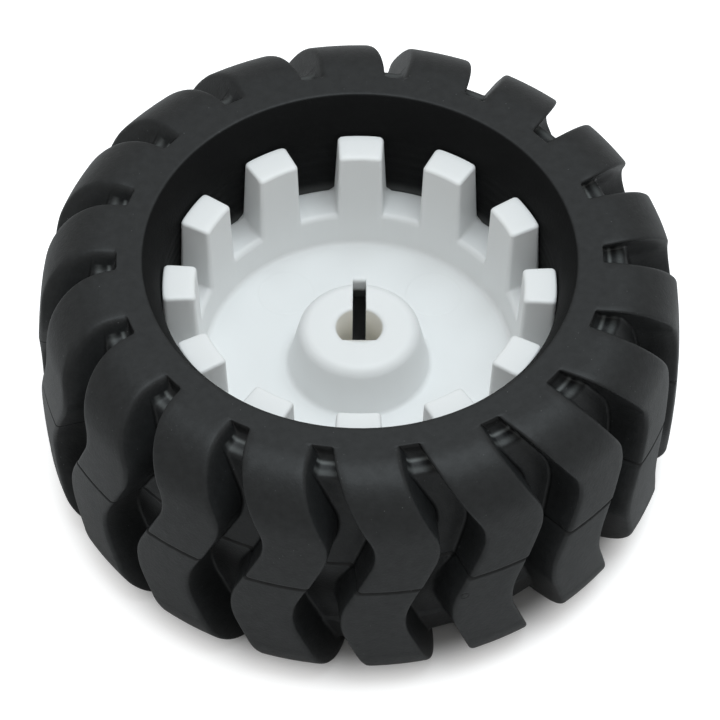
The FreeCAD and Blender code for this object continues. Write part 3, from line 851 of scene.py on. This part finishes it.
def add_camera():
    """The photograph's own camera, from its direction, distance, roll and focal length."""
    back = np.array([math.sin(CAMERA_AZIMUTH) * math.cos(CAMERA_ELEVATION),
                     -math.cos(CAMERA_AZIMUTH) * math.cos(CAMERA_ELEVATION), math.sin(CAMERA_ELEVATION)])
    right = np.cross(-back, [0.0, 0.0, 1.0])
    right /= np.linalg.norm(right)
    up = np.cross(right, -back)
    across = math.cos(CAMERA_ROLL) * right + math.sin(CAMERA_ROLL) * up
    upward = -math.sin(CAMERA_ROLL) * right + math.cos(CAMERA_ROLL) * up
    place = CAMERA_DISTANCE * back - CAMERA_SIDE * across - CAMERA_RISE * upward
    place += np.array([0.0, 0.0, CAMERA_TARGET_HEIGHT])
    data = bpy.data.cameras.new("photo camera")
    data.sensor_width = SENSOR_WIDTH
    data.lens = CAMERA_FOCAL_PIXELS * SENSOR_WIDTH / PICTURE_PIXELS
    data.clip_start = 0.01
    data.clip_end = 10.0
    camera = bpy.data.objects.new("photo camera", data)
    bpy.context.scene.collection.objects.link(camera)
    matrix = Matrix.Identity(4)
    for row in range(3):
        matrix[row][0] = across[row]
        matrix[row][1] = upward[row]
        matrix[row][2] = back[row]
        matrix[row][3] = place[row] * MM
    camera.matrix_world = matrix
    bpy.context.scene.camera = camera


# The add-on
class WheelTyreSettings(bpy.types.PropertyGroup):
    """Sizes and colour of the tyre"""

    lug_count: bpy.props.IntProperty(
        name="Lugs", description="Number of lugs round the tyre", default=18, min=6)
    lug_width: bpy.props.FloatProperty(
        name="Lug Width", description="Width of a lug round the tyre", default=4.2 * MM, unit="LENGTH")
    groove_depth: bpy.props.FloatProperty(
        name="Groove Depth", description="Depth of the grooves at the mould parting", default=2.45 * MM,
        unit="LENGTH")
    shoulder_radius: bpy.props.FloatProperty(
        name="Shoulder Radius", description="Rounding from the tread to the side face", default=4.1 * MM,
        unit="LENGTH")
    rubber_colour: bpy.props.FloatVectorProperty(
        name="Rubber", description="Colour of the rubber", default=(0.0125, 0.0135, 0.014), subtype="COLOR")


class WheelHubSettings(bpy.types.PropertyGroup):
    """Sizes and colour of the hub"""

    tooth_height: bpy.props.FloatProperty(
        name="Tooth Height", description="Height of a tooth above the drum", default=5.36 * MM, unit="LENGTH")
    slit_width: bpy.props.FloatProperty(
        name="Slit Width", description="Width of the slit beside the shaft bore", default=0.87 * MM,
        unit="LENGTH")
    plastic_colour: bpy.props.FloatVectorProperty(
        name="Plastic", description="Colour of the plastic", default=(0.852, 0.862, 0.860), subtype="COLOR")


class WheelStageSettings(bpy.types.PropertyGroup):
    """Light on the stage"""

    lamp_power: bpy.props.FloatProperty(
        name="Lamp Power", description="Power of the overhead lamp", default=2.1, unit="POWER")
    sky_strength: bpy.props.FloatProperty(
        name="Sky Strength", description="Strength of the light from all around", default=0.54)
    floor_glow: bpy.props.FloatProperty(
        name="Floor Glow", description="Brightness that the camera alone sees on the floor", default=0.69)


class WHEEL_OT_tyre(bpy.types.Operator):
    """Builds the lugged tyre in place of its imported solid"""

    bl_idname = "wheel.tyre"
    bl_label = "Build Tyre"

    def execute(self, context):
        settings = context.scene.wheel_tyre
        place_piece("tyre_rubber", grid_mesh("tyre_rubber", tyre_points(settings)), "tyre",
                    rubber_material(settings))
        return {"FINISHED"}


class WHEEL_OT_hub(bpy.types.Operator):
    """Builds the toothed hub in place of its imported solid"""

    bl_idname = "wheel.hub"
    bl_label = "Build Hub"

    def execute(self, context):
        settings = context.scene.wheel_hub
        place_piece("hub_plastic", grid_mesh("hub_plastic", hub_points(settings)), "hub",
                    plastic_material(settings))
        return {"FINISHED"}


class WHEEL_OT_stage(bpy.types.Operator):
    """Adds the floor, the lamp, the sky and the camera"""

    bl_idname = "wheel.stage"
    bl_label = "Build Stage"

    def execute(self, context):
        settings = context.scene.wheel_stage
        add_floor(settings.floor_glow)
        add_world(settings.sky_strength)
        add_lamp("overhead", LAMP_PLACE, LAMP_SIZE, settings.lamp_power, LAMP_COLOUR)
        add_camera()
        context.scene.view_settings.view_transform = "Standard"
        return {"FINISHED"}


class WHEEL_PT_panel(bpy.types.Panel):
    """Lists the settings and the operators in the sidebar"""

    bl_label = "Small Robot Wheel"
    bl_idname = "WHEEL_PT_panel"
    bl_space_type = "VIEW_3D"
    bl_region_type = "UI"
    bl_category = "Wheel"

    def draw(self, context):
        for name in ("wheel_tyre", "wheel_hub", "wheel_stage"):
            box = self.layout.box()
            settings = getattr(context.scene, name)
            for item in settings.__annotations__:
                box.prop(settings, item)
            box.operator(name.replace("_", "."))


CLASSES = (WheelTyreSettings, WheelHubSettings, WheelStageSettings, WHEEL_OT_tyre, WHEEL_OT_hub,
           WHEEL_OT_stage, WHEEL_PT_panel)


def register():
    for item in CLASSES:
        bpy.utils.register_class(item)
    bpy.types.Scene.wheel_tyre = bpy.props.PointerProperty(type=WheelTyreSettings)
    bpy.types.Scene.wheel_hub = bpy.props.PointerProperty(type=WheelHubSettings)
    bpy.types.Scene.wheel_stage = bpy.props.PointerProperty(type=WheelStageSettings)


def unregister():
    del bpy.types.Scene.wheel_stage
    del bpy.types.Scene.wheel_hub
    del bpy.types.Scene.wheel_tyre
    for item in reversed(CLASSES):
        bpy.utils.unregister_class(item)


def main():
    """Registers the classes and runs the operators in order."""
    register()
    for build in (bpy.ops.wheel.tyre, bpy.ops.wheel.hub, bpy.ops.wheel.stage):
        build()


if __name__ == "__main__":
    main()
